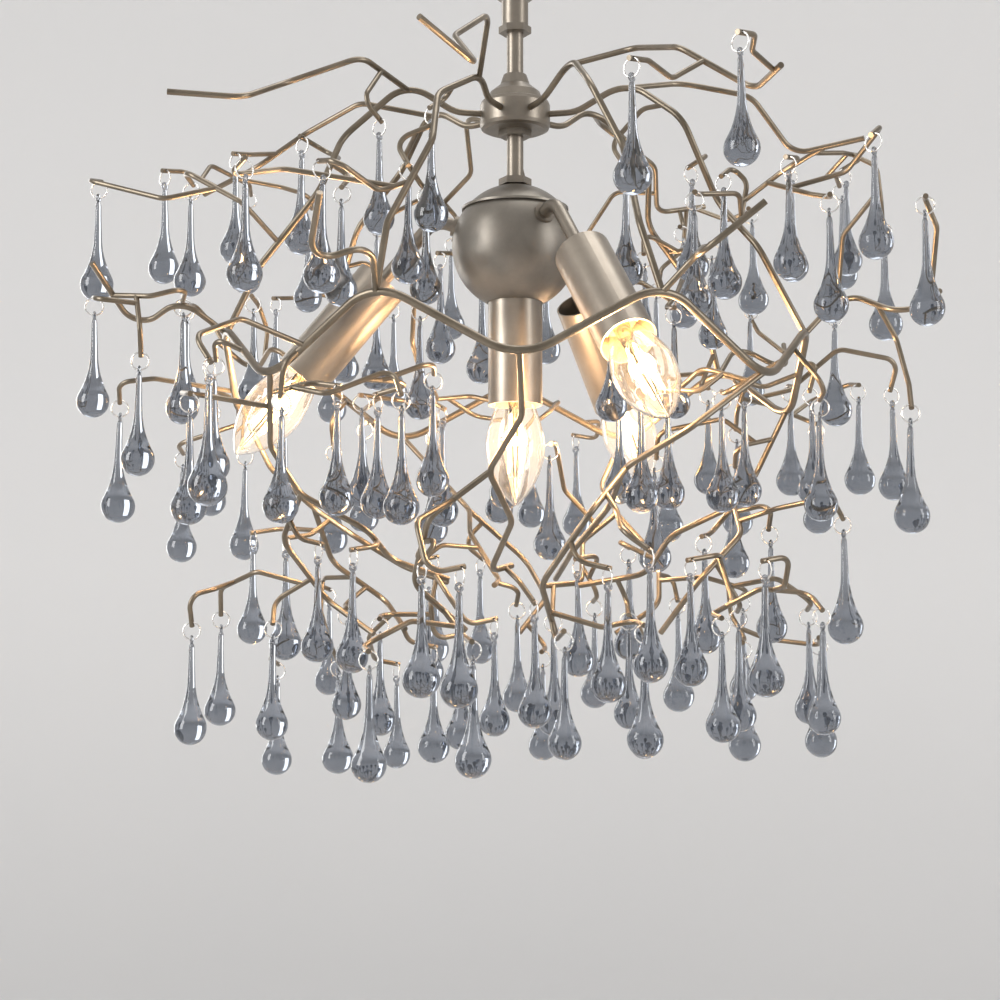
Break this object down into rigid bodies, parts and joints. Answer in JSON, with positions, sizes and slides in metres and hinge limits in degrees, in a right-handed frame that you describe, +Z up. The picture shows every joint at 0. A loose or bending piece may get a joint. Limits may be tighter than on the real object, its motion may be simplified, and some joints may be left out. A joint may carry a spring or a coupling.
{
  "type": "branch chandelier with glass drops",
  "caption": "Hanging chandelier of bent metal branches round a ball hub, with candle lamps in open sleeves and smoky glass teardrops on wire rings.",
  "frame": {"origin": "centre of the hanging loop's bore, from which the chandelier hangs", "axes": "+Z up along the stem, +Y along the loop's bore, away from the viewer, +X to the right"},
  "size_m": [0.5004, 0.4748, 0.4962],
  "materials": {
    "satin_metal": "satin champagne",
    "hub_metal": "satin champagne",
    "sleeve_metal": "satin champagne",
    "rod_metal": "satin champagne gold",
    "plated_steel": "zinc plated",
    "holder": "matte cream",
    "brass_contact": "bright",
    "silver_wire": "bright",
    "bulb_glass": "clear",
    "bulb_cap": "nickelled",
    "filament": "glowing",
    "smoky_glass": "smoky blue grey"
  },
  "bodies": {
    "frame": {"hanging_loop": "satin_metal", "stem_tube": "satin_metal", "stem_locknuts": "satin_metal", "branch_collar": "satin_metal", "collar_cap": "satin_metal", "hub_upper_cover": "hub_metal", "hub_lower_bowl": "hub_metal", "hub_plate": "plated_steel", "lamp_arms": "satin_metal", "arm_ferrules": "satin_metal", "arm_ring_nuts": "plated_steel", "lamp_locknuts": "plated_steel", "centre_candle_sleeve": "sleeve_metal", "arm_candle_sleeves": "sleeve_metal", "lampholders": "holder", "lampholder_contacts": "brass_contact", "sleeve_carriers": "plated_steel", "jump_rings": "silver_wire", "branch_1": "rod_metal", "branch_2": "rod_metal", "branch_3": "rod_metal", "branch_4": "rod_metal", "branch_5": "rod_metal", "branch_6": "rod_metal", "branch_7": "rod_metal"},
    "bulb_centre": {"bulb_centre_glass": "bulb_glass", "bulb_centre_cap": "bulb_cap", "bulb_centre_filaments": "filament"},
    "bulb_front_right": {"bulb_front_right_glass": "bulb_glass", "bulb_front_right_cap": "bulb_cap", "bulb_front_right_filaments": "filament"},
    "bulb_back_right": {"bulb_back_right_glass": "bulb_glass", "bulb_back_right_cap": "bulb_cap", "bulb_back_right_filaments": "filament"},
    "bulb_left": {"bulb_left_glass": "bulb_glass", "bulb_left_cap": "bulb_cap", "bulb_left_filaments": "filament"},
    "drops_01": {"drops_01": "smoky_glass"},
    "drops_02": {"drops_02": "smoky_glass"},
    "drops_03": {"drops_03": "smoky_glass"},
    "drops_04": {"drops_04": "smoky_glass"},
    "drops_05": {"drops_05": "smoky_glass"},
    "drops_06": {"drops_06": "smoky_glass"},
    "drops_07": {"drops_07": "smoky_glass"},
    "drops_08": {"drops_08": "smoky_glass"},
    "drops_09": {"drops_09": "smoky_glass"},
    "drops_10": {"drops_10": "smoky_glass"},
    "drops_11": {"drops_11": "smoky_glass"},
    "drops_12": {"drops_12": "smoky_glass"},
    "drops_13": {"drops_13": "smoky_glass"},
    "drops_14": {"drops_14": "smoky_glass"},
    "drops_15": {"drops_15": "smoky_glass"},
    "drops_16": {"drops_16": "smoky_glass"},
    "drops_17": {"drops_17": "smoky_glass"},
    "drops_18": {"drops_18": "smoky_glass"},
    "drops_19": {"drops_19": "smoky_glass"},
    "drops_20": {"drops_20": "smoky_glass"},
    "drops_21": {"drops_21": "smoky_glass"},
    "drops_22": {"drops_22": "smoky_glass"}
  },
  "joints": [
    {"name": "bulb_centre_unscrew", "type": "slide", "parent": "frame", "child": "bulb_centre", "axis": [0, 0, -1], "range_m": [0, 0.03]},
    {"name": "bulb_front_right_unscrew", "type": "slide", "parent": "frame", "child": "bulb_front_right", "axis": [0.3018, -0.5675, -0.766], "range_m": [0, 0.03]},
    {"name": "bulb_back_right_unscrew", "type": "slide", "parent": "frame", "child": "bulb_back_right", "axis": [0.3406, 0.5451, -0.766], "range_m": [0, 0.03]},
    {"name": "bulb_left_unscrew", "type": "slide", "parent": "frame", "child": "bulb_left", "axis": [-0.6424, 0.0224, -0.766], "range_m": [0, 0.03]},
    {"name": "drops_01_swing", "type": "hinge", "parent": "frame", "child": "drops_01", "pos_m": [0.10546, -0.00153, -0.12633], "axis": [0.8363, 0.5313, 0.1351], "range_deg": [-14, 14]},
    {"name": "drops_02_swing", "type": "hinge", "parent": "frame", "child": "drops_02", "pos_m": [-0.01233, 0.17425, -0.15457], "axis": [-0.9428, 0.2693, -0.1963], "range_deg": [-14, 14]},
    {"name": "drops_03_swing", "type": "hinge", "parent": "frame", "child": "drops_03", "pos_m": [-0.16839, 0.10485, -0.18331], "axis": [-0.9834, 0.1628, -0.0805], "range_deg": [-14, 14]},
    {"name": "drops_04_swing", "type": "hinge", "parent": "frame", "child": "drops_04", "pos_m": [0.0222, 0.15264, -0.14731], "axis": [0.9767, 0.0322, -0.212], "range_deg": [-14, 14]},
    {"name": "drops_05_swing", "type": "hinge", "parent": "frame", "child": "drops_05", "pos_m": [-0.17114, 0.02931, -0.10975], "axis": [-0.7667, 0.6418, 0.0143], "range_deg": [-14, 14]},
    {"name": "drops_06_swing", "type": "hinge", "parent": "frame", "child": "drops_06", "pos_m": [-0.19, -0.02143, -0.14194], "axis": [-0.9824, 0.1753, 0.0642], "range_deg": [-14, 14]},
    {"name": "drops_07_swing", "type": "hinge", "parent": "frame", "child": "drops_07", "pos_m": [-0.04731, 0.09314, -0.15682], "axis": [-0.7878, 0.6115, -0.0746], "range_deg": [-14, 14]},
    {"name": "drops_08_swing", "type": "hinge", "parent": "frame", "child": "drops_08", "pos_m": [-0.17052, -0.13448, -0.28423], "axis": [0.931, 0.3592, 0.0652], "range_deg": [-14, 14]},
    {"name": "drops_09_swing", "type": "hinge", "parent": "frame", "child": "drops_09", "pos_m": [-0.09504, 0.08743, -0.26778], "axis": [-0.9763, 0.1698, 0.1343], "range_deg": [-14, 14]},
    {"name": "drops_10_swing", "type": "hinge", "parent": "frame", "child": "drops_10", "pos_m": [0.17476, 0.08256, -0.24534], "axis": [0.9852, 0.1649, 0.047], "range_deg": [-14, 14]},
    {"name": "drops_11_swing", "type": "hinge", "parent": "frame", "child": "drops_11", "pos_m": [-0.0095, 0.09732, -0.26439], "axis": [0.4437, 0.8954, 0.036], "range_deg": [-14, 14]},
    {"name": "drops_12_swing", "type": "hinge", "parent": "frame", "child": "drops_12", "pos_m": [0.05815, 0.02578, -0.20564], "axis": [0.9629, 0.267, 0.0383], "range_deg": [-14, 14]},
    {"name": "drops_13_swing", "type": "hinge", "parent": "frame", "child": "drops_13", "pos_m": [-0.21122, -0.05937, -0.24904], "axis": [-0.9976, 0.001, 0.0688], "range_deg": [-14, 14]},
    {"name": "drops_14_swing", "type": "hinge", "parent": "frame", "child": "drops_14", "pos_m": [0.09821, 0.10052, -0.27101], "axis": [-0.9986, 0.0347, -0.0411], "range_deg": [-14, 14]},
    {"name": "drops_15_swing", "type": "hinge", "parent": "frame", "child": "drops_15", "pos_m": [-0.03196, 0.02987, -0.40364], "axis": [-0.4336, 0.8871, -0.1585], "range_deg": [-14, 14]},
    {"name": "drops_16_swing", "type": "hinge", "parent": "frame", "child": "drops_16", "pos_m": [0.04993, 0.07841, -0.38109], "axis": [0.9883, 0.1477, 0.0375], "range_deg": [-14, 14]},
    {"name": "drops_17_swing", "type": "hinge", "parent": "frame", "child": "drops_17", "pos_m": [0.13059, 0.0042, -0.39071], "axis": [-0.9997, 0.0062, -0.0221], "range_deg": [-14, 14]},
    {"name": "drops_18_swing", "type": "hinge", "parent": "frame", "child": "drops_18", "pos_m": [-0.07649, -0.12871, -0.41774], "axis": [0.9708, 0.2187, 0.0982], "range_deg": [-14, 14]},
    {"name": "drops_19_swing", "type": "hinge", "parent": "frame", "child": "drops_19", "pos_m": [-0.11476, -0.00959, -0.35248], "axis": [-0.4907, 0.8601, 0.1393], "range_deg": [-14, 14]},
    {"name": "drops_20_swing", "type": "hinge", "parent": "frame", "child": "drops_20", "pos_m": [0.18848, -0.02244, -0.338], "axis": [-0.8857, 0.4549, -0.093], "range_deg": [-14, 14]},
    {"name": "drops_21_swing", "type": "hinge", "parent": "frame", "child": "drops_21", "pos_m": [0.13939, 0.05254, -0.40775], "axis": [-0.9773, 0.208, -0.0396], "range_deg": [-14, 14]},
    {"name": "drops_22_swing", "type": "hinge", "parent": "frame", "child": "drops_22", "pos_m": [-0.05343, 0.18041, -0.34637], "axis": [-0.5353, 0.8419, 0.0677], "range_deg": [-14, 14]}
  ]
}
